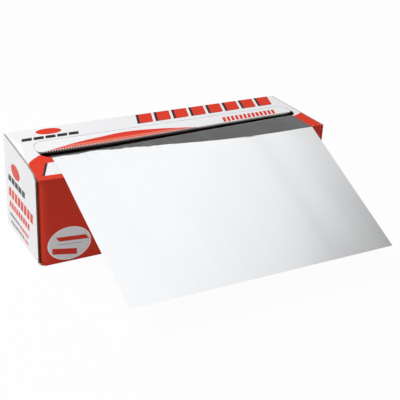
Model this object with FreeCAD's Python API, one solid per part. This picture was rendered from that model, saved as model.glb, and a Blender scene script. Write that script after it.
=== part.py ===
# Aluminium foil roll in a dispensing carton, millimetres.
# The origin is the centre of the carton's underside. +X runs along the carton, -Y is its front
# and +Z is up.
import FreeCAD, Part
import math
import os

# Foil and the roll it is wound on
foil_width = 300.0
roll_diameter = 95.0
core_diameter = 40.0
core_wall = 3.0
core_overhang = 1.0
winding_clearance = 0.15

# Carton, and the room it leaves round the roll
board = 1.5
fold_radius = 1.4
corner_radius = 8.0
sharp_corner_radius = 2.0
room_at_end = 23.0
room_beside_roll = 5.5
room_above_roll = 10.7
roll_floor_clearance = 0.3

# Glued end flaps: the side flaps turn in first, then the upper flap, then the outer flap
side_flap_width = 48.0
upper_flap_length = 78.0
end_flap_setback = 0.8
left_flap_setback = 7.0
open_corner = 4.0

# Cut-out in the top for the flap and the slot, measured back from the carton's front face
slot_front_setback = 37.0
slot_width = 11.0
crease_setback = 72.0
cutout_past_foil = 9.0
foil_shift = 4.0
slot_corner_radius = 14.0
crease_corner_radius = 12.0

# Dispensing flap and its steel cutter
flap_gap = 0.4
flap_corner_radius = 5.0
cutter_thickness = 0.4
cutter_seat_gap = 0.2
cutter_body_depth = 10.0
tooth_pitch = 3.0
tooth_depth = 2.0

# Drawn-out sheet
sheet = 0.3
sheet_clearance = 0.3
slot_clearance = 1.3
sheet_reach = 160.0
free_edge_height_left = 36.5
free_edge_height_right = 33.5
crest_run_left = 3.5
crest_run_full = 2.0
crest_run_right = 36.4

# Top, which has sunk at the left from the flap's crease forwards: the drop is at the slot
sink_full_length = 98.0
sink_length = 303.0
sink_drop = 4.6

# Strip in front of the slot, pressed down from the left end, where it is bent along a crease
dent_full_length = 79.0
dent_length = 248.0
dent_width_end = 36.5
dent_width_full = 35.5
dent_drop_end = 11.0
dent_drop_full = 13.0

# Left edge of the top, which sags towards the front
sag_width = 22.0
sag_drop = 7.5

# Length by which a cutting tool passes the face that it cuts
overcut = 4.0

carton_length = foil_width + 2 * room_at_end
carton_depth = roll_diameter + 2 * (room_beside_roll + board)
carton_height = roll_diameter + roll_floor_clearance + room_above_roll + 2 * board
left_end = -carton_length / 2
right_end = carton_length / 2
front = -carton_depth / 2
back = carton_depth / 2
slot_front = front + slot_front_setback
tooth_line = slot_front + slot_width
flap_front = tooth_line + tooth_depth
crease = front + crease_setback
foil_left = foil_shift - foil_width / 2
foil_right = foil_shift + foil_width / 2
cutout_left = foil_left - cutout_past_foil
cutout_right = foil_right + cutout_past_foil
roll_radius = roll_diameter / 2
roll_height = board + roll_floor_clearance + roll_radius
sink_full = left_end + sink_full_length
sink_end = left_end + sink_length
dent_full = left_end + dent_full_length
dent_end = left_end + dent_length


def box(x, y, z):
    """A block between the low and high values in x, y and z."""
    corner = FreeCAD.Vector(x[0], y[0], z[0])
    return Part.makeBox(x[1] - x[0], y[1] - y[0], z[1] - z[0], corner)


def loft(sections):
    """A solid with straight lines from each closed outline to the next."""
    wires = [Part.makePolygon(points + points[:1]) for points in sections]
    return Part.makeLoft(wires, True, True)


def upright_edges(shape, x, y):
    """The edges of a shape that stand upright at one place."""
    found = []
    for edge in shape.Edges:
        ends = [vertex.Point for vertex in edge.Vertexes]
        if len(ends) == 2 and all(abs(p.x - x) + abs(p.y - y) < 0.01 for p in ends):
            found.append(edge)
    return found


def round_upright(shape, x, y, radius):
    """The shape with its upright edge at one place rounded."""
    return shape.makeFillet(radius, upright_edges(shape, x, y))


def between(x, places, values):
    """The value at x on straight lines between places, level past both ends."""
    if x <= places[0]:
        return values[0]
    for i in range(1, len(places)):
        if x <= places[i]:
            share = (x - places[i - 1]) / (places[i] - places[i - 1])
            return values[i - 1] + share * (values[i] - values[i - 1])
    return values[-1]


def sink(x):
    """How far the top has sunk at the slot's front edge."""
    return between(x, [sink_full, sink_end], [sink_drop, 0.0])


def dent_width(x):
    """How far behind the front face the strip's crease lies."""
    return between(x, [left_end, dent_full, dent_end], [dent_width_end, dent_width_full, 0.0])


def dent_drop(x):
    """How far the strip's front edge is pressed down."""
    return between(x, [left_end, dent_full, dent_end, sink_end],
                   [dent_drop_end, dent_drop_full, sink(dent_end), 0.0])


def front_dent(depth):
    """The space above the sunk top and its pressed-down strip, lowered by depth."""
    level = carton_height - depth
    sections = []
    for x in (left_end - overcut, left_end, dent_full, sink_full, dent_end, sink_end):
        width = dent_width(x)
        low = level - sink(x)
        slope = dent_drop_full / dent_width_full
        if width > 0:
            slope = (dent_drop(x) - sink(x)) / width
        sections.append([
            FreeCAD.Vector(x, crease, level),
            FreeCAD.Vector(x, slot_front, low),
            FreeCAD.Vector(x, front + width, low),
            FreeCAD.Vector(x, front - overcut, low - slope * (width + overcut)),
            FreeCAD.Vector(x, front - overcut, carton_height + overcut),
            FreeCAD.Vector(x, crease, carton_height + overcut)])
    return loft(sections)


def sunk_layer(upper, lower):
    """The layer between two depths under the sunk top, from the crease to the slot's front."""
    sections = []
    for x in (left_end, sink_full, sink_end, right_end):
        points = ((crease, -upper), (slot_front, -upper - sink(x)),
                  (slot_front, -lower - sink(x)), (crease, -lower))
        sections.append([FreeCAD.Vector(x, y, carton_height + depth) for y, depth in points])
    return loft(sections)


def end_sag(depth):
    """The space above the sagging left edge of the top, lowered by depth."""
    slope = sag_drop / sag_width
    level = carton_height - depth
    sections = []
    for y in (back + overcut, front - overcut):
        crest = left_end + sag_width * (back - y) / carton_depth
        sections.append([
            FreeCAD.Vector(crest, y, level),
            FreeCAD.Vector(left_end - overcut, y, level - slope * (crest - left_end + overcut)),
            FreeCAD.Vector(left_end - overcut, y, carton_height + overcut),
            FreeCAD.Vector(crest, y, carton_height + overcut)])
    return loft(sections)


def pressed(shape, depth):
    """The shape cut down to the dented top, lowered by depth."""
    return shape.cut(front_dent(depth)).cut(end_sag(depth))


def rounded(shape, radius, faces_down):
    """The shape with the edges of its top face, or of its underside, rounded."""
    level = shape.BoundBox.ZMin if faces_down else shape.BoundBox.ZMax
    edges = [edge for edge in shape.Edges if abs(edge.CenterOfMass.z - level) < 0.01]
    return shape.makeFillet(radius, edges)


def side_walls():
    """The front and back panels and the side flaps, in soft bends but for the sharp right front."""
    end = carton_length / 2 - 2 * board
    tops = (board, carton_height - board)
    outside = box((-end, end), (front, back), tops)
    inside = box((board - end, end - board), (front + board, back - board), tops)
    for x in (-1, 1):
        for y in (-1, 1):
            radius = sharp_corner_radius if (x, y) == (1, -1) else corner_radius
            outside = round_upright(outside, x * end, y * back, radius)
            inside = round_upright(inside, x * (end - board), y * (back - board), radius - board)
    seam = box((-end - overcut, end + overcut), (front + side_flap_width, back - side_flap_width),
               (board, carton_height))
    return pressed(outside.cut(inside).cut(seam), board)


def top_panel():
    """The top, dented at the left, with its cut-out and the upper flaps turned down."""
    end = carton_length / 2 - board
    depth = (front, back)
    lowest = carton_height - dent_drop_full - board - overcut
    block = rounded(box((-end, end), depth, (lowest, carton_height)), fold_radius, False)
    below = box((-end - overcut, end + overcut), (front - overcut, back + overcut),
                (lowest - overcut, carton_height - board))
    panel = pressed(block, 0.0).cut(pressed(below, board)).cut(cutout())
    flap_bottom = carton_height - board - upper_flap_length
    for side, setback in ((-1, left_flap_setback + 2 * board), (1, board)):
        x = sorted((side * end, side * (end - board)))
        upper = box(x, (front + setback, back - board), (flap_bottom, carton_height - board))
        panel = panel.fuse(pressed(upper, board))
    return panel


def bottom_panel():
    """The bottom, with the outer flaps turned up over the others."""
    block = box((left_end, right_end), (front, back), (0.0, board))
    panel = rounded(round_upright(block, left_end, front, corner_radius), fold_radius, True)
    for side, setback in ((-1, left_flap_setback), (1, end_flap_setback)):
        x = sorted((side * carton_length / 2, side * (carton_length / 2 - board)))
        outer = box(x, (front + setback, back - end_flap_setback),
                    (board, carton_height - end_flap_setback))
        panel = panel.fuse(pressed(outer, end_flap_setback))
    return panel


def parted_corner():
    """The three-sided gap at the left end, where the glued flap has parted from the front."""
    top = carton_height - dent_drop_end
    edge = front + left_flap_setback
    outline = [
        FreeCAD.Vector(left_end - overcut, edge - overcut, top + overcut),
        FreeCAD.Vector(left_end - overcut, edge + open_corner + overcut, top + overcut),
        FreeCAD.Vector(left_end - overcut, edge - overcut, top - open_corner - overcut)]
    face = Part.Face(Part.makePolygon(outline + outline[:1]))
    return face.extrude(FreeCAD.Vector(overcut + board, 0, 0))


def cutout():
    """The opening in the top: the slot in front and the flap's place behind it."""
    hole = box((cutout_left, cutout_right), (slot_front, crease),
               (carton_height - board - sink_drop - overcut, carton_height + overcut))
    for x in (cutout_left, cutout_right):
        hole = round_upright(hole, x, slot_front, slot_corner_radius)
        hole = round_upright(hole, x, crease, crease_corner_radius)
    return hole


def make_carton():
    """One folded and glued sheet of card."""
    panels = bottom_panel().fuse([side_walls(), top_panel()])
    return panels.cut(parted_corner()).removeSplitter()


def make_flap():
    """The dispensing flap, flush with the sunk top, with round ends."""
    left = cutout_left + flap_gap
    right = cutout_right - flap_gap
    rear = crease - flap_gap
    flap = box((left, right), (flap_front, rear),
               (carton_height - board - sink_drop - overcut, carton_height + overcut))
    for x in (left, right):
        flap = round_upright(flap, x, flap_front, flap_corner_radius)
        flap = round_upright(flap, x, rear, crease_corner_radius - flap_gap)
    return flap.common(sunk_layer(0.0, board))


def make_cutter():
    """The toothed steel strip under the flap's front edge, as long as the foil is wide."""
    top = carton_height
    rear = flap_front + cutter_body_depth
    teeth = round(foil_width / tooth_pitch)
    pitch = foil_width / teeth
    outline = [FreeCAD.Vector(foil_right, rear, top), FreeCAD.Vector(foil_left, rear, top)]
    for i in range(teeth):
        root = foil_left + i * pitch
        outline.append(FreeCAD.Vector(root, flap_front, top))
        outline.append(FreeCAD.Vector(root + pitch / 2, tooth_line, top))
    outline.append(FreeCAD.Vector(foil_right, flap_front, top))
    face = Part.Face(Part.makePolygon(outline + outline[:1]))
    blank = face.extrude(FreeCAD.Vector(0, 0, -board - sink_drop - overcut))
    seat = board + cutter_seat_gap
    return blank.common(sunk_layer(seat, seat + cutter_thickness))


def tangent_point(y, z, radius):
    """Where a line from (y, z) touches the back of the roll, at a given radius."""
    distance = math.hypot(y, z - roll_height)
    angle = math.atan2(y, z - roll_height) + math.acos(radius / distance)
    return radius * math.sin(angle), roll_height + radius * math.cos(angle)


def sheet_line(x):
    """The sheet's underside at x, from the roll to the free edge, as (y, z) points."""
    level = carton_height - sink(x) + sheet_clearance
    over_slot = (slot_front + slot_clearance, level)
    off_roll = tangent_point(over_slot[0], over_slot[1], roll_radius - 1.5 * sheet)
    flat = between(x, [foil_left, dent_full, dent_end],
                   [crest_run_left, crest_run_full, crest_run_right])
    crest = (slot_front - flat, level)
    share = (x - foil_left) / foil_width
    height = free_edge_height_left + share * (free_edge_height_right - free_edge_height_left)
    free = (front - sheet_reach, height)
    edge_y = front - sheet_clearance
    straight = crest[1] + (free[1] - crest[1]) * (edge_y - crest[0]) / (free[0] - crest[0])
    edge = (edge_y, max(straight, carton_height - dent_drop(x) + sheet_clearance))
    return [off_roll, over_slot, crest, edge, free]


def thickened(line):
    """The points of a line and, back along it, of its copy one sheet's thickness above."""
    normals = []
    for a, b in zip(line, line[1:]):
        length = math.hypot(b[0] - a[0], b[1] - a[1])
        normals.append(((b[1] - a[1]) / length, -(b[0] - a[0]) / length))
    upper = []
    for i, point in enumerate(line):
        before = normals[max(i - 1, 0)]
        after = normals[min(i, len(normals) - 1)]
        scale = sheet / (1 + before[0] * after[0] + before[1] * after[1])
        upper.append((point[0] + (before[0] + after[0]) * scale,
                      point[1] + (before[1] + after[1]) * scale))
    return line + upper[::-1]


def make_foil():
    """The roll's turns and the sheet drawn out of the slot, one web."""
    along_x = FreeCAD.Vector(1, 0, 0)
    start = FreeCAD.Vector(foil_left, 0, roll_height)
    turns = Part.makeCylinder(roll_radius, foil_width, start, along_x)
    bore = Part.makeCylinder(core_diameter / 2 + winding_clearance, foil_width, start, along_x)
    sections = []
    for x in (foil_left, dent_full, sink_full, dent_end, sink_end, foil_right):
        sections.append([FreeCAD.Vector(x, y, z) for y, z in thickened(sheet_line(x))])
    return turns.cut(bore).fuse(loft(sections)).removeSplitter()


def make_core():
    """The card tube inside the roll."""
    along_x = FreeCAD.Vector(1, 0, 0)
    start = FreeCAD.Vector(foil_left - core_overhang, 0, roll_height)
    length = foil_width + 2 * core_overhang
    outside = Part.makeCylinder(core_diameter / 2, length, start, along_x)
    inside = Part.makeCylinder(core_diameter / 2 - core_wall, length, start, along_x)
    return outside.cut(inside)


os.makedirs("parts", exist_ok=True)
nodes = {
    "carton": make_carton(),
    "flap": make_flap(),
    "cutter": make_cutter(),
    "foil": make_foil(),
    "core": make_core(),
}
for name, shape in nodes.items():
    shape.exportStep("parts/" + name + ".step")
    print(name, "solids", len(shape.Solids), "valid", shape.isValid(), "volume", round(shape.Volume))
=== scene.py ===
import math

import bpy
import numpy as np
from mathutils import Matrix, Vector


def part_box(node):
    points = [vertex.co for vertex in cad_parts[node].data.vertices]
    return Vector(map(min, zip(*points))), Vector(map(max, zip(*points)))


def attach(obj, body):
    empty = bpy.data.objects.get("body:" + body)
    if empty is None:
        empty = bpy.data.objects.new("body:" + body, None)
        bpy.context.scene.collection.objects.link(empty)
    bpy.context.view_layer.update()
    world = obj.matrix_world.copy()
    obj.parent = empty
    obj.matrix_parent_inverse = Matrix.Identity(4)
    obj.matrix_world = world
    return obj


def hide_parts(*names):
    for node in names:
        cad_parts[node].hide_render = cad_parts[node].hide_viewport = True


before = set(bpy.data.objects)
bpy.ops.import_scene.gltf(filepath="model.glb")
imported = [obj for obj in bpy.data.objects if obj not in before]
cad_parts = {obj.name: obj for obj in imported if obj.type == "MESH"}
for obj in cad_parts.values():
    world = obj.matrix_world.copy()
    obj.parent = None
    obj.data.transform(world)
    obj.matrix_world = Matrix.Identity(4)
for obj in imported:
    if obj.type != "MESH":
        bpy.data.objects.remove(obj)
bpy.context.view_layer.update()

# Camera, from the photograph's perspective
CAMERA_PLACE = (-0.4173, -0.7948, 0.4553)
CAMERA_TURN = math.radians(-30.14)
CAMERA_LOOKS_DOWN = math.radians(25.77)
CAMERA_LEAN = math.radians(3.02)
CAMERA_LENS_MM = 77.2

# Sizes that the solids have too, in millimetres
MM = 0.001
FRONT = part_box("carton")[0].y / MM
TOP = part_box("carton")[1].z / MM
CARTON_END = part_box("carton")[1].x / MM
BOARD = 1.5
CORNER_RADIUS = 8.0
SLOT_FRONT = FRONT + 37.0
CREASE = FRONT + 72.0
FLAP_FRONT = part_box("flap")[0].y / MM
CUTTER_PITCH = 3.0
FOIL_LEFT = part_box("foil")[0].x / MM
FOIL_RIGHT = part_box("foil")[1].x / MM
ROLL_RADIUS = 47.5
ROLL_HEIGHT = 49.3
CORE_RADIUS = 20.0
FREE_EDGE_Y = FRONT - 160.0
FREE_EDGE_LEFT_Z = 36.5
FREE_EDGE_RIGHT_Z = 33.5
SINK_FULL_X = -CARTON_END + 98.0
SINK_END_X = -CARTON_END + 303.0
SINK_DROP = 4.6
DENT_FULL_X = -CARTON_END + 79.0
DENT_END_X = -CARTON_END + 248.0
DENT_DROP = 13.0
DENT_DROP_AT_END = 11.0

# Drawn-out sheet, in millimetres: height over the card, thickness, and where it bends down
SHEET_LIFT = 0.5
SHEET_THICKNESS = 0.12
CREST_PLACES = (-146.0, -94.0, -18.0, 37.0, 85.0, 115.0, 154.0)
CREST_RUNS = (3.5, 2.2, 18.5, 30.5, 36.8, 39.4, 39.8)

# Colours as they look, red, green and blue from 0 to 255
CARD_WHITE = (243, 243, 245)
PRINT_RED = (224, 56, 30)
# The front's red: the print red painted darker, as painted shade on the front face
PRINT_RED_SHADED_FRONT = (203, 46, 18)
PRINT_DARK = (44, 38, 42)
PRINT_GREY = (224, 224, 226)
# Bare board edges, painted darker as painted shade in the gaps: brown on the sides, grey on top
CARD_EDGE_AND_GAP_SHADE = (112, 88, 72)
CARD_RIM_AND_GAP_SHADE = (160, 154, 148)
# Pale card edge, also used for painted highlights along the teeth; then dark red painted shade between
# them
FLAP_RIM_AND_GLINT = (234, 228, 222)
FLAP_RIM_SHADE_RED = (150, 44, 34)
PALE_RED = (246, 150, 130)
CARD_INSIDE = (120, 104, 88)
CORE_BROWN = (158, 126, 92)
CORE_FIBRE = (184, 154, 120)
CORE_SEAM = (104, 80, 58)
# Steel tones painted dark, as painted shade in the slot
STEEL_SHADED_DARK = (96, 97, 100)
STEEL_SHADED_LIGHT = (122, 123, 126)
FOIL_DARK = (244, 245, 247)
FOIL_LIGHT = (253, 254, 255)
FLOOR_GREY = (226, 226, 226)


def colour(rgb):
    """A shader colour from one written as it looks."""
    return tuple((value / 255) ** 2.2 for value in rgb) + (1.0,)


class Material:
    """One node material. Each method adds nodes and returns their output."""

    def __init__(self, name):
        self.material = bpy.data.materials.new(name)
        self.material.use_nodes = True
        self.tree = self.material.node_tree
        self.tree.nodes.clear()
        self.place = self.node("ShaderNodeTexCoord").outputs

    def node(self, kind, **settings):
        made = self.tree.nodes.new(kind)
        for name, value in settings.items():
            setattr(made, name, value)
        return made

    def put(self, socket, value):
        if isinstance(value, bpy.types.NodeSocket):
            self.tree.links.new(value, socket)
        else:
            socket.default_value = value

    def math(self, operation, *values):
        made = self.node("ShaderNodeMath", operation=operation)
        for socket, value in zip(made.inputs, values):
            self.put(socket, value)
        return made.outputs[0]

    def above(self, value, limit):
        return self.math("GREATER_THAN", value, limit)

    def below(self, value, limit):
        return self.math("LESS_THAN", value, limit)

    def all_of(self, *masks):
        result = masks[0]
        for mask in masks[1:]:
            result = self.math("MULTIPLY", result, mask)
        return result

    def any_of(self, *masks):
        result = masks[0]
        for mask in masks[1:]:
            result = self.math("MAXIMUM", result, mask)
        return result

    def within(self, value, low, high):
        return self.all_of(self.above(value, low), self.below(value, high))

    def oval(self, u, v, centre, radii):
        across = self.math("DIVIDE", self.math("SUBTRACT", u, centre[0]), radii[0])
        along = self.math("DIVIDE", self.math("SUBTRACT", v, centre[1]), radii[1])
        total = self.math("ADD", self.math("MULTIPLY", across, across),
                          self.math("MULTIPLY", along, along))
        return self.below(total, 1.0)

    def dashes(self, u, v, low, high, pitch, share, slant=0.0):
        """A row of slanted bars that fills a rectangle."""
        slid = self.math("SUBTRACT", u, self.math("MULTIPLY", v, slant))
        phase = self.math("FLOORED_MODULO", self.math("SUBTRACT", slid, low[0] - slant * low[1]),
                          pitch)
        bars = self.below(phase, pitch * share)
        ends = self.within(slid, low[0] - slant * low[1], high[0] - slant * low[1])
        return self.all_of(bars, ends, self.within(v, low[1], high[1]))

    def mix(self, share, first, second):
        made = self.node("ShaderNodeMix", data_type="RGBA")
        self.put(made.inputs[0], share)
        self.put(made.inputs[6], first)
        self.put(made.inputs[7], second)
        return made.outputs[2]

    def noise(self, vector, scale, detail, roughness=0.5):
        made = self.node("ShaderNodeTexNoise")
        self.put(made.inputs["Vector"], vector)
        self.put(made.inputs["Scale"], scale)
        self.put(made.inputs["Detail"], detail)
        self.put(made.inputs["Roughness"], roughness)
        return made.outputs[0]

    def spread(self, vector, x, y, z):
        made = self.node("ShaderNodeVectorMath", operation="MULTIPLY")
        self.put(made.inputs[0], vector)
        self.put(made.inputs[1], (x, y, z))
        return made.outputs[0]

    def ranged(self, value, low, high, to_low, to_high):
        made = self.node("ShaderNodeMapRange")
        for socket, number in zip(made.inputs, (value, low, high, to_low, to_high)):
            self.put(socket, number)
        return made.outputs[0]

    def axes(self, vector, scale=1.0):
        parts = self.node("ShaderNodeSeparateXYZ")
        self.put(parts.inputs[0], self.spread(vector, scale, scale, scale))
        return parts.outputs

    def bump(self, height, distance, strength, under=None):
        made = self.node("ShaderNodeBump")
        self.put(made.inputs["Strength"], strength)
        self.put(made.inputs["Distance"], distance)
        self.put(made.inputs["Height"], height)
        if under is not None:
            self.put(made.inputs["Normal"], under)
        return made.outputs[0]

    def surface(self, **inputs):
        """The finished material: inputs are the shader's own, with spaces as underscores."""
        shader = self.node("ShaderNodeBsdfPrincipled")
        for name, value in inputs.items():
            self.put(shader.inputs[name.replace("_", " ")], value)
        output = self.node("ShaderNodeOutputMaterial")
        self.tree.links.new(shader.outputs[0], output.inputs[0])
        return self.material


def swoosh(m, x):
    """How far behind the front face the red field reaches over the top, at x, in mm."""
    curve = m.node("ShaderNodeFloatCurve")
    line = curve.mapping.curves[0]
    highest = 80.0
    points = [(-173, 29), (-165, 38), (-155, 44.5), (-146, 50), (-133, 53.4), (-109, 58.8),
              (-78, 63), (-46, 65.5), (-16, 62), (12, 56), (43, 47), (75, 38), (105, 33),
              (135, 33), (155, 36.5), (173, 46)]
    for i, (place, reach) in enumerate(points):
        share = (place + CARTON_END) / (2 * CARTON_END)
        if i in (0, len(points) - 1):
            line.points[0 if i == 0 else -1].location = (share, reach / highest)
        else:
            line.points.new(share, reach / highest)
    curve.mapping.update()
    m.put(curve.inputs["Value"], m.ranged(x, -CARTON_END, CARTON_END, 0.0, 1.0))
    return m.math("MULTIPLY", curve.outputs[0], highest)


def top_print(m, x, y, base):
    """The top's print: a red field in front with white blocks, and red bars and marks behind.

    The places are in millimetres from the carton's middle, as in the other prints.
    """
    red_field = m.below(m.math("SUBTRACT", y, FRONT), swoosh(m, x))
    bars = m.dashes(x, y, (-23.5, 26.8), (160.5, 56.8), 23.0, 0.72, 0.36)
    bar_shadow = m.dashes(x, y, (-27.0, 26.0), (157.0, 56.0), 23.0, 0.78, 0.36)
    small_bars = m.dashes(x, y, (69.0, -3.0), (141.0, 9.5), 5.6, 0.66, 0.36)
    pill = m.oval(x, y, (-126.5, 41.8), (14.5, 8.4))
    under_pill = m.dashes(x, y, (-163.0, 22.6), (-98.0, 30.4), 13.2, 0.86, 0.3)
    blocks = m.dashes(x, y, (-162.6, -47.4), (130.0, -26.4), 28.0, 0.72, 0.5)
    block_shadow = m.dashes(x, y, (-165.2, -47.4), (127.4, -26.4), 28.0, 0.72, 0.5)
    coloured = m.mix(m.any_of(bar_shadow, under_pill), base, colour(PRINT_DARK))
    coloured = m.mix(m.any_of(red_field, bars, small_bars, pill), coloured, colour(PRINT_RED))
    coloured = m.mix(block_shadow, coloured, colour(PRINT_DARK))
    return m.mix(blocks, coloured, colour(CARD_WHITE))


def end_print(m, y, z, base):
    """The print on an end: a red mark, a dark line, and rows of red and dark bars."""
    pill = m.oval(y, z, (17.5, 77.5), (14.5, 8.0))
    dark = m.any_of(m.dashes(y, z, (-11.0, 59.0), (46.0, 66.5), 11.4, 0.86, -0.2),
                    m.dashes(y, z, (12.0, 16.0), (44.0, 19.5), 5.0, 0.7),
                    m.dashes(y, z, (-2.0, 7.0), (42.0, 10.5), 5.0, 0.7))
    red = m.any_of(pill,
                   m.dashes(y, z, (-34.0, 40.0), (47.0, 51.5), 10.2, 0.78, -0.2),
                   m.dashes(y, z, (-22.0, 26.5), (46.0, 34.5), 7.6, 0.76, -0.2),
                   m.dashes(y, z, (-18.0, 15.0), (10.0, 19.5), 5.0, 0.72),
                   m.dashes(y, z, (-16.0, 6.0), (-4.0, 10.0), 5.0, 0.72))
    return m.mix(red, m.mix(dark, base, colour(PRINT_DARK)), colour(PRINT_RED))


def front_print(m, x, z):
    """The front: red, painted darker than the print red as painted shade, with a light grey oval that
    holds two plain red blocks.
    """
    rim = m.oval(x, z, (-141.0, 21.8), (23.8, 19.0))
    oval = m.oval(x, z, (-141.0, 21.8), (22.8, 18.0))
    upper = m.math("ADD", z, m.math("MULTIPLY", x, 0.08))
    leaning = m.math("ADD", x, m.math("MULTIPLY", z, 0.7))
    high_block = m.all_of(m.within(upper, 13.6, 18.6), m.within(leaning, -134.0, -103.0))
    lower = m.math("ADD", z, m.math("MULTIPLY", x, 0.18))
    low_block = m.all_of(m.within(lower, -16.6, -9.8), m.within(x, -160.0, -133.0))
    groove = m.all_of(m.within(upper, 9.6, 10.3), m.within(x, -153.0, -127.0))
    mark = m.any_of(high_block, low_block)
    # The front's red here is painted shade: a darker copy of the print red
    coloured = m.mix(rim, colour(PRINT_RED_SHADED_FRONT), colour(CARD_WHITE))
    coloured = m.mix(oval, coloured, colour(PRINT_GREY))
    coloured = m.mix(m.math("MULTIPLY", groove, 0.6), coloured, colour(PRINT_DARK))
    return m.mix(mark, coloured, colour(PRINT_RED_SHADED_FRONT))


def card_bump(m):
    """Paper grain, the faint lines of the fluting, and slow waves in the panels."""
    place = m.place["Object"]
    x = m.axes(place)[0]
    grain = m.noise(place, 2400.0, 3.0)
    fluting = m.math("SINE", m.math("MULTIPLY", x, 2 * math.pi / 0.0026))
    waves = m.noise(m.spread(place, 1.0, 1.6, 1.6), 14.0, 1.0)
    fine = m.bump(grain, 0.00002, 0.6)
    ribbed = m.bump(fluting, 0.000006, 0.5, fine)
    return m.bump(waves, 0.0012, 0.5, ribbed)


def card_roughness(m):
    """The varnish: a little uneven."""
    return m.ranged(m.noise(m.place["Object"], 60.0, 3.0), 0.3, 0.7, 0.33, 0.46)


def carton_material():
    """Coated white card: printed outside, bare inside and at its cut edges."""
    m = Material("printed_card")
    x, y, z = m.axes(m.place["Object"], 1 / MM)
    normal = m.axes(m.place["Normal"])
    faces_up = m.above(normal[2], 0.3)
    flat_z = m.below(m.math("ABSOLUTE", normal[2]), 0.5)
    beyond = m.math("ABSOLUTE", x)
    white = colour(CARD_WHITE)
    lowest_top = TOP - DENT_DROP - 4 * BOARD
    under_top = TOP - SINK_DROP - 2 * BOARD
    seam = CARTON_END - BOARD - 0.02
    wall_end = CARTON_END - 2 * BOARD
    rim_depth = BOARD + 0.1
    skin = BOARD - 0.1

    on_top = m.all_of(faces_up, m.above(z, lowest_top))
    on_front = m.all_of(m.below(y, FRONT + CORNER_RADIUS + 0.5), m.below(beyond, seam),
                        m.math("SUBTRACT", 1.0, on_top))
    on_end = m.above(m.math("ABSOLUTE", normal[0]), 0.5)
    outer_flap = m.above(beyond, seam)

    coloured = m.mix(on_top, white, top_print(m, x, y, white))
    coloured = m.mix(on_front, coloured, front_print(m, x, z))
    coloured = m.mix(m.all_of(outer_flap, on_end), coloured, end_print(m, y, z, white))

    # The side panels' rounded corners are printed on their outside only
    from_x = m.math("SUBTRACT", beyond, wall_end - CORNER_RADIUS)
    from_y = m.math("SUBTRACT", m.math("ABSOLUTE", y), -FRONT - CORNER_RADIUS)
    reach = m.math("SQRT", m.math("ADD", m.math("MULTIPLY", from_x, from_x),
                                  m.math("MULTIPLY", from_y, from_y)))
    on_corner = m.all_of(m.above(from_x, 0.0), m.above(from_y, 0.0),
                         m.above(reach, CORNER_RADIUS - 0.4), m.below(beyond, wall_end + 0.02), flat_z)

    # The bare edges of the board, at the outer flaps and round the slot, painted darker as painted
    # shade in the gaps there: dark brown on their sides, grey on top
    flap_side = m.all_of(outer_flap, m.math("SUBTRACT", 1.0, on_end), m.above(z, rim_depth))
    flap_top = m.all_of(flap_side, faces_up)
    slot_rim = m.all_of(flat_z, m.above(z, under_top), m.within(y, SLOT_FRONT - 1.0, CREASE + 1.0),
                        m.within(x, FOIL_LEFT - 11.0, FOIL_RIGHT + 11.0))
    coloured = m.mix(m.any_of(flap_side, slot_rim), coloured, colour(CARD_EDGE_AND_GAP_SHADE))
    coloured = m.mix(flap_top, coloured, colour(CARD_RIM_AND_GAP_SHADE))

    # Rims that the red print folds over, at both ends
    right_rim = m.all_of(m.above(x, wall_end - 0.2), m.below(y, FRONT + 2.0), m.above(z, rim_depth))
    left_top = m.all_of(m.above(x, skin - CARTON_END), m.above(z, lowest_top), m.below(y, FRONT + 29.0))
    left_bottom = m.all_of(m.below(z, rim_depth), m.below(y, FRONT + 7.0))
    left_rim = m.all_of(m.below(x, rim_depth - CARTON_END), on_end, m.any_of(left_top, left_bottom))

    # Bare card inside, then the folded rims over it
    inside = m.all_of(m.within(y, FRONT + skin, -FRONT - skin), m.below(beyond, seam),
                      m.within(z, skin, TOP - skin), m.math("SUBTRACT", 1.0, on_top),
                      m.math("SUBTRACT", 1.0, on_corner))
    coloured = m.mix(inside, coloured, colour(CARD_INSIDE))
    coloured = m.mix(m.any_of(left_rim, right_rim), coloured, colour(PRINT_RED))

    # Scuffs where the folds have rubbed through the print
    near_fold = m.below(m.math("ADD", m.math("ABSOLUTE", m.math("SUBTRACT", y, FRONT)),
                               m.math("ABSOLUTE", m.math("SUBTRACT", z, TOP))), 2.0)
    rubbed = m.above(m.noise(m.place["Object"], 420.0, 4.0, 0.7), 0.57)
    coloured = m.mix(m.math("MULTIPLY", m.all_of(near_fold, rubbed), 0.35), coloured, white)
    return m.surface(Base_Color=coloured, Roughness=card_roughness(m), Normal=card_bump(m),
                     Specular_IOR_Level=0.25)


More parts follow.
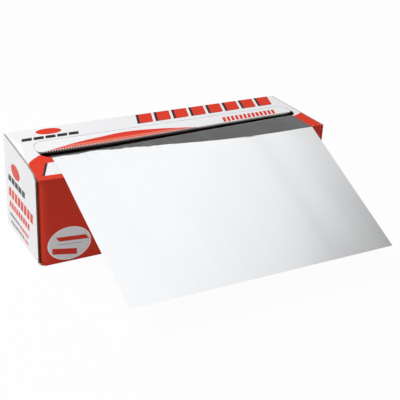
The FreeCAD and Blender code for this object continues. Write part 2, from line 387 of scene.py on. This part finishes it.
def flap_material():
    """The flap's print goes on from the top's. Its front rim and the strip above it have pale dashes at
    the teeth's pitch, painted highlights, with dark red painted shade between them on the rim.
    """
    m = Material("flap_card")
    x, y, z = m.axes(m.place["Object"], 1 / MM)
    normal = m.axes(m.place["Normal"])
    white = colour(CARD_WHITE)
    red_part = m.below(m.math("SUBTRACT", y, FRONT), swoosh(m, x))
    cuts = m.below(m.math("FLOORED_MODULO", x, CUTTER_PITCH), 1.3)
    fine_line = m.dashes(x, y, (-138.0, FLAP_FRONT + 3.0), (20.0, FLAP_FRONT + 6.0), 2.3, 0.62)
    # Pale dots on the top's front strip: painted highlights where the teeth catch the light
    painted_tooth_glints = m.all_of(m.below(y, FLAP_FRONT + BOARD), m.math("SUBTRACT", 1.0, cuts))
    printed = top_print(m, x, y, white)
    printed = m.mix(m.all_of(red_part, fine_line), printed, colour(PALE_RED))
    printed = m.mix(m.all_of(red_part, painted_tooth_glints), printed, colour(FLAP_RIM_AND_GLINT))
    # On the rim: pale painted highlights, with dark red painted shade between them
    rim = m.mix(m.all_of(red_part, cuts), colour(FLAP_RIM_AND_GLINT), colour(FLAP_RIM_SHADE_RED))
    coloured = m.mix(m.below(m.math("ABSOLUTE", normal[2]), 0.5), printed, rim)
    coloured = m.mix(m.below(normal[2], -0.5), coloured, colour(CARD_INSIDE))
    return m.surface(Base_Color=coloured, Roughness=card_roughness(m), Normal=card_bump(m),
                     Specular_IOR_Level=0.25)


def steel_material():
    """Brushed steel, with fine streaks along the strip, painted much darker than bright steel as
    painted shade in the slot.
    """
    m = Material("cutter_steel")
    streaks = m.noise(m.spread(m.place["Object"], 40.0, 900.0, 40.0), 1.0, 3.0)
    return m.surface(Base_Color=m.mix(streaks, colour(STEEL_SHADED_DARK), colour(STEEL_SHADED_LIGHT)),
                     Metallic=1.0, Roughness=m.ranged(streaks, 0.3, 0.7, 0.24, 0.4),
                     Normal=m.bump(streaks, 0.00001, 0.4))


def core_material():
    """Brown card wound in a spiral, with its seam."""
    m = Material("core_card")
    x, y, z = m.axes(m.place["Object"])
    around = m.math("ARCTAN2", y, m.math("SUBTRACT", z, ROLL_HEIGHT * MM))
    turns = m.math("ADD", m.math("DIVIDE", around, 2 * math.pi), m.math("DIVIDE", x, 0.07))
    seam = m.below(m.math("FLOORED_MODULO", turns, 1.0), 0.02)
    fibres = m.noise(m.place["Object"], 900.0, 4.0)
    card = m.mix(fibres, colour(CORE_BROWN), colour(CORE_FIBRE))
    return m.surface(Base_Color=m.mix(seam, card, colour(CORE_SEAM)), Roughness=0.85,
                     Normal=m.bump(fibres, 0.0001, 0.5))


def foil_material(name, streak_axis):
    """Bright rolled foil, with the fine streaks that run along the web."""
    m = Material(name)
    if streak_axis == "web":
        place = m.place["UV"]
        streaks = m.noise(m.spread(place, 900.0, 6.0, 1.0), 1.0, 4.0, 0.6)
        broad = m.noise(m.spread(place, 60.0, 1.5, 1.0), 1.0, 2.0)
    else:
        place = m.place["Object"]
        streaks = m.noise(m.spread(place, 900.0, 20.0, 20.0), 1.0, 4.0, 0.6)
        broad = m.noise(m.spread(place, 60.0, 8.0, 8.0), 1.0, 2.0)
    tone = m.mix(streaks, colour(FOIL_DARK), colour(FOIL_LIGHT))
    rough = m.math("ADD", m.ranged(streaks, 0.3, 0.7, 0.15, 0.2),
                   m.ranged(broad, 0.3, 0.7, -0.02, 0.02))
    fine = m.bump(streaks, 0.000004, 0.5)
    return m.surface(Base_Color=tone, Metallic=1.0, Roughness=rough,
                     Normal=m.bump(broad, 0.00006, 0.4, fine))


def mesh_piece(name, points, faces, material, body, uv=None):
    """A mesh in millimetres made into a named piece that rides on a body."""
    mesh = bpy.data.meshes.new(name)
    mesh.from_pydata([tuple(p) for p in np.asarray(points) * MM], [], faces)
    mesh.validate()
    if uv is not None:
        layer = mesh.uv_layers.new(name="web")
        for loop in mesh.loops:
            layer.data[loop.index].uv = uv[loop.vertex_index]
    for polygon in mesh.polygons:
        polygon.use_smooth = True
    mesh.materials.append(material)
    piece = bpy.data.objects.new(name, mesh)
    bpy.context.scene.collection.objects.link(piece)
    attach(piece, body)
    return piece


def sink(x):
    """How far the top has sunk at the slot's front edge, at x."""
    return np.interp(x, [SINK_FULL_X, SINK_END_X], [SINK_DROP, 0.0])


def crest_run(x):
    """How far in front of the slot the foil bends down, at x: a line that wavers at the left."""
    wave_length = 39.0
    straight = np.interp(x, CREST_PLACES, CREST_RUNS)
    waver = 1.5 * math.cos(2 * math.pi * (x - FOIL_LEFT + 11.0) / wave_length) - 0.4
    fading = np.interp(x, [-50.0, 10.0], [1.0, 0.0])
    return straight + waver * fading


def front_edge_height(x):
    """The height of the carton's front edge at x."""
    places = [-CARTON_END, DENT_FULL_X, DENT_END_X, SINK_END_X]
    return TOP - np.interp(x, places, [DENT_DROP_AT_END, DENT_DROP, sink(DENT_END_X), 0.0])


def sheet_path(x, counts):
    """The sheet's middle line at x, as (y, z) points: off the roll, over the slot, down in front.

    The counts say how many points lie round the roll, up to the slot, over the strip in front of
    it, on to the carton's front edge, and down the slope.
    """
    level = TOP + SHEET_LIFT - sink(x)

    # At the slot's round ends the sheet keeps further from the card
    from_middle = abs(x - (FOIL_LEFT + FOIL_RIGHT) / 2)
    behind_edge = np.interp(from_middle, [138.0, 150.0], [0.6, 1.4])
    over_slot = np.array((SLOT_FRONT + behind_edge, level))
    towards = np.array((over_slot[0], over_slot[1] - ROLL_HEIGHT))
    radius = ROLL_RADIUS - 0.1
    angle = math.atan2(*towards) + math.acos(radius / math.hypot(*towards))
    wrap = np.linspace(angle + math.radians(35), angle, counts[0], endpoint=False)
    points = [(radius * math.sin(a), ROLL_HEIGHT + radius * math.cos(a)) for a in wrap]
    off_roll = (radius * math.sin(angle), ROLL_HEIGHT + radius * math.cos(angle))
    crest = (SLOT_FRONT - crest_run(x), level)
    share = (x - FOIL_LEFT) / (FOIL_RIGHT - FOIL_LEFT)
    free = (FREE_EDGE_Y, FREE_EDGE_LEFT_Z + share * (FREE_EDGE_RIGHT_Z - FREE_EDGE_LEFT_Z) + 0.2)
    edge_y = min(FRONT - 0.6, crest[0] - 1.5)
    straight = crest[1] + (free[1] - crest[1]) * (edge_y - crest[0]) / (free[0] - crest[0])
    over_edge = front_edge_height(x) + SHEET_LIFT if edge_y > FRONT - 1.0 else straight
    edge = (edge_y, max(straight, over_edge))
    corners = [off_roll, over_slot, crest, edge, free]
    for (start, end), count in zip(zip(corners, corners[1:]), counts[1:]):
        for i in range(count):
            part = i / count
            points.append((start[0] + (end[0] - start[0]) * part,
                           start[1] + (end[1] - start[1]) * part))
    points.append(free)
    return np.array(points)


def smoothed(grid, axis, passes):
    """A grid of points with each one moved towards its two neighbours along one axis."""
    grid = np.moveaxis(grid.copy(), axis, 0)
    for _ in range(passes):
        grid[1:-1] = 0.25 * grid[:-2] + 0.5 * grid[1:-1] + 0.25 * grid[2:]
    return np.moveaxis(grid, 0, axis)


def waves(across, along, count, longest, shortest, seed):
    """Soft random waves over the sheet: a sum of sines, from -1 to 1 or so."""
    rng = np.random.default_rng(seed)
    total = np.zeros_like(across)
    for _ in range(count):
        length = shortest * (longest / shortest) ** rng.random()
        turn = rng.normal(0.0, 0.35)
        phase = rng.random() * 2 * math.pi
        total += np.sin(2 * math.pi * (across * math.cos(turn) + along * math.sin(turn)) / length
                        + phase) / math.sqrt(count)
    return total


def make_sheet(material):
    """The drawn-out sheet, thin and closed, with its crease waves and small crinkles."""
    slow_height = 0.07
    crinkle_height = 0.28
    across_count = 171
    counts = (8, 18, 26, 22, 84)
    xs = np.linspace(FOIL_LEFT, FOIL_RIGHT, across_count)
    grid = np.array([[(x, y, z) for y, z in sheet_path(x, counts)] for x in xs])
    grid = smoothed(smoothed(grid, 1, 1), 0, 26)
    rows = grid.shape[1]

    along = np.concatenate([np.zeros((across_count, 1)),
                            np.cumsum(np.linalg.norm(np.diff(grid, axis=1), axis=2), axis=1)], 1)
    across = grid[:, :, 0]
    crest_row = counts[0] + counts[1] + counts[2]
    slot_row = counts[0] + counts[1]
    past_crest = along - along[:, crest_row:crest_row + 1]
    past_slot = along - along[:, slot_row:slot_row + 1]

    left_part = np.clip((50.0 - across) / 120.0, 0.0, 1.0)
    near_crest = np.exp(-(past_crest / 16.0) ** 2)
    on_slope = np.clip(past_crest / 60.0, 0.0, 1.0)
    out_of_slot = np.clip(past_slot / 6.0, 0.0, 1.0)
    slow = slow_height * waves(across, along, 7, 150.0, 60.0, 4) * on_slope
    crinkle = crinkle_height * waves(across, along, 14, 26.0, 9.0, 11) * near_crest * left_part
    lifted = (slow + crinkle) * out_of_slot

    # Over the card the sheet dips by less than its height above it
    flat_part = np.clip(1.0 - on_slope * 3.0, 0.0, 1.0)
    lifted = np.maximum(lifted, -0.25 * flat_part - (1.0 - flat_part) * 9.0)

    # Raised along the upper side's normals
    tangent_v = np.gradient(grid, axis=1)
    tangent_u = np.gradient(grid, axis=0)
    normal = np.cross(tangent_u, tangent_v)
    normal /= np.linalg.norm(normal, axis=2, keepdims=True)
    normal *= np.sign(normal[across_count // 2, -2, 2])
    grid = grid + normal * lifted[:, :, None]

    # The left edge is gathered a little where it comes out of the slot
    gathered = np.clip((-110.0 - across) / 36.0, 0.0, 1.0) * np.exp(-(past_crest / 50.0) ** 2)
    grid[:, :, 0] += 0.8 * gathered

    half = SHEET_THICKNESS / 2
    upper = (grid + normal * half).reshape(-1, 3)
    lower = (grid - normal * half).reshape(-1, 3)
    faces = []
    count = across_count * rows
    for i in range(across_count - 1):
        for j in range(rows - 1):
            a = i * rows + j
            faces.append((a, a + 1, a + rows + 1, a + rows))
            faces.append((count + a, count + a + rows, count + a + rows + 1, count + a + 1))
    rim = [i * rows for i in range(across_count)]
    rim += [(across_count - 1) * rows + j for j in range(1, rows)]
    rim += [i * rows + rows - 1 for i in range(across_count - 2, -1, -1)]
    rim += list(range(rows - 2, 0, -1))
    for a, b in zip(rim, rim[1:] + rim[:1]):
        faces.append((a, b, b + count, a + count))
    uv = [(x * MM, v * MM) for x, v in zip(across.ravel(), along.ravel())] * 2
    sheet = mesh_piece("foil_sheet", np.vstack([upper, lower]), faces, material, "carton", uv)
    sheet.data.set_sharp_from_angle(angle=math.radians(60))
    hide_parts("foil")


def make_roll(material):
    """The turns on the core, with ends that step in and out a little from turn to turn."""
    around_count = 144
    deepest_step = 0.35
    rng = np.random.default_rng(7)
    radii = np.linspace(CORE_RADIUS + 0.15, ROLL_RADIUS - 0.25, 26)
    left = [(FOIL_LEFT + deepest_step * rng.random(), radius) for radius in radii]
    right = [(FOIL_RIGHT - deepest_step * rng.random(), radius) for radius in radii]
    outer = ROLL_RADIUS - 0.2
    rings = left + [(FOIL_LEFT + 0.6, outer), (FOIL_RIGHT - 0.6, outer)] + right[::-1]
    points = []
    for x, radius in rings:
        for i in range(around_count):
            angle = 2 * math.pi * i / around_count
            points.append((x, radius * math.sin(angle), ROLL_HEIGHT + radius * math.cos(angle)))
    faces = []
    total = len(rings)
    for i in range(total):
        ring = i * around_count
        following = (i + 1) % total * around_count
        for j in range(around_count):
            k = (j + 1) % around_count
            faces.append((ring + j, ring + k, following + k, following + j))
    roll = mesh_piece("foil_roll", points, faces, material, "carton")
    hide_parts("foil")


def set_material(node, material):
    """Gives a carried-over solid its material."""
    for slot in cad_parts[node].material_slots:
        slot.material = material


def make_camera():
    """The camera at the photograph's viewing angle."""
    turn, down, lean = CAMERA_TURN, CAMERA_LOOKS_DOWN, CAMERA_LEAN
    back = np.array((math.sin(turn) * math.cos(down), -math.cos(turn) * math.cos(down),
                     math.sin(down)))
    level = np.array((math.cos(turn), math.sin(turn), 0.0))
    upright = np.cross(back, level)
    right = math.cos(lean) * level + math.sin(lean) * upright
    up = math.cos(lean) * upright - math.sin(lean) * level
    data = bpy.data.cameras.new("camera")
    data.sensor_width = 36.0
    data.lens = CAMERA_LENS_MM
    camera = bpy.data.objects.new("camera", data)
    matrix = Matrix.Identity(4)
    for row in range(3):
        matrix[row][0] = right[row]
        matrix[row][1] = up[row]
        matrix[row][2] = back[row]
        matrix[row][3] = CAMERA_PLACE[row]
    camera.matrix_world = matrix
    bpy.context.scene.collection.objects.link(camera)
    bpy.context.scene.camera = camera


def stage_plane(name, corners, material):
    """A flat four-cornered plane of the stage, which is no part of the object."""
    mesh = bpy.data.meshes.new(name)
    mesh.from_pydata(corners, [], [(0, 1, 2, 3)])
    mesh.materials.append(material)
    plane = bpy.data.objects.new(name, mesh)
    bpy.context.scene.collection.objects.link(plane)
    return plane


def make_floor():
    """A pale floor that is white to the camera and keeps the object's shadow."""
    white_share = 0.96
    m = Material("floor")
    shader = m.node("ShaderNodeBsdfDiffuse")
    shader.inputs["Color"].default_value = colour(FLOOR_GREY)
    glow = m.node("ShaderNodeEmission")
    ray = m.node("ShaderNodeLightPath").outputs
    glow.inputs["Strength"].default_value = 1.0
    mixed = m.node("ShaderNodeMixShader")
    seen = m.math("MULTIPLY", m.any_of(ray["Is Camera Ray"], ray["Is Glossy Ray"]), white_share)
    m.put(mixed.inputs[0], seen)
    m.put(mixed.inputs[1], shader.outputs[0])
    m.put(mixed.inputs[2], glow.outputs[0])
    output = m.node("ShaderNodeOutputMaterial")
    m.tree.links.new(mixed.outputs[0], output.inputs[0])
    size = 4.0
    level = -0.0004
    stage_plane("floor", [(-size, -size, level), (size, -size, level), (size, size, level),
                          (-size, size, level)], m.material)


def glow_card(name, centre, across, upward, ends, half_height, places, glows):
    """A card that only reflections see, with a glow that changes along it from place to place."""
    m = Material(name)
    glow = m.node("ShaderNodeEmission")
    along = m.axes(m.place["Object"])[0]
    strength = glows[0]
    for start, end, before, after in zip(places, places[1:], glows, glows[1:]):
        strength = m.math("ADD", m.ranged(along, start, end, 0.0, after - before), strength)
    m.put(glow.inputs["Strength"], strength)
    output = m.node("ShaderNodeOutputMaterial")
    m.tree.links.new(glow.outputs[0], output.inputs[0])
    left, right = ends
    h = half_height
    card = stage_plane(name, [(left, -h, 0), (right, -h, 0), (right, h, 0), (left, h, 0)], m.material)
    across = Vector(across).normalized()
    facing = across.cross(Vector(upward)).normalized()
    turned = Matrix((across, facing.cross(across), facing)).transposed()
    card.matrix_world = Matrix.Translation(centre) @ turned.to_4x4()
    card.visible_camera = False
    card.visible_diffuse = False
    card.visible_shadow = False
    card.visible_transmission = False


def make_light():
    """Soft studio light from the upper left, a white surround, and two reflection cards."""
    surround_level = 0.31
    world = bpy.data.worlds.new("studio")
    bpy.context.scene.world = world
    world.use_nodes = True
    tree = world.node_tree
    background = tree.nodes["Background"]
    background.inputs["Color"].default_value = (1.0, 1.0, 1.0, 1.0)
    ray = tree.nodes.new("ShaderNodeLightPath")
    seen = ray.outputs["Is Camera Ray"]
    for name in ("Is Glossy Ray", "Is Transmission Ray"):
        either = tree.nodes.new("ShaderNodeMath")
        either.operation = "MAXIMUM"
        tree.links.new(seen, either.inputs[0])
        tree.links.new(ray.outputs[name], either.inputs[1])
        seen = either.outputs[0]
    strength = tree.nodes.new("ShaderNodeMapRange")
    strength.inputs["To Min"].default_value = surround_level
    strength.inputs["To Max"].default_value = 1.0
    tree.links.new(seen, strength.inputs["Value"])
    tree.links.new(strength.outputs[0], background.inputs["Strength"])

    lamp = bpy.data.lights.new("key", "AREA")
    lamp.shape = "RECTANGLE"
    lamp.size = 1.6
    lamp.size_y = 1.2
    lamp.energy = 36.5
    key = bpy.data.objects.new("key", lamp)
    place = np.array((-1.0, 0.35, 1.8))
    aim = np.array((0.0, 0.0, 0.05)) - place
    key.rotation_euler = Vector(aim).to_track_quat("-Z", "Y").to_euler()
    key.location = place
    key.visible_glossy = False
    bpy.context.scene.collection.objects.link(key)

    glow_card("rear_card", (0.7, 1.4, 0.65), (0.0, 0.0, 1.0), (1.6, -0.5, 0.0),
              (-0.55, 0.55), 1.7, (-0.15, 0.3), (0.19, 0.08))
    glow_card("right_card", (1.73, 0.12, 1.57), (0.875, -0.305, -0.376), (0.18, 0.92, -0.35),
              (-1.15, 0.76), 1.8, (-1.15, -0.7, -0.5, -0.08), (1.0, 0.88, 0.78, 0.3))


bpy.context.scene.view_settings.view_transform = "Standard"
make_camera()
make_light()
make_floor()
set_material("carton", carton_material())
set_material("flap", flap_material())
set_material("cutter", steel_material())
set_material("core", core_material())
make_sheet(foil_material("foil_web", "web"))
make_roll(foil_material("foil_turns", "roll"))
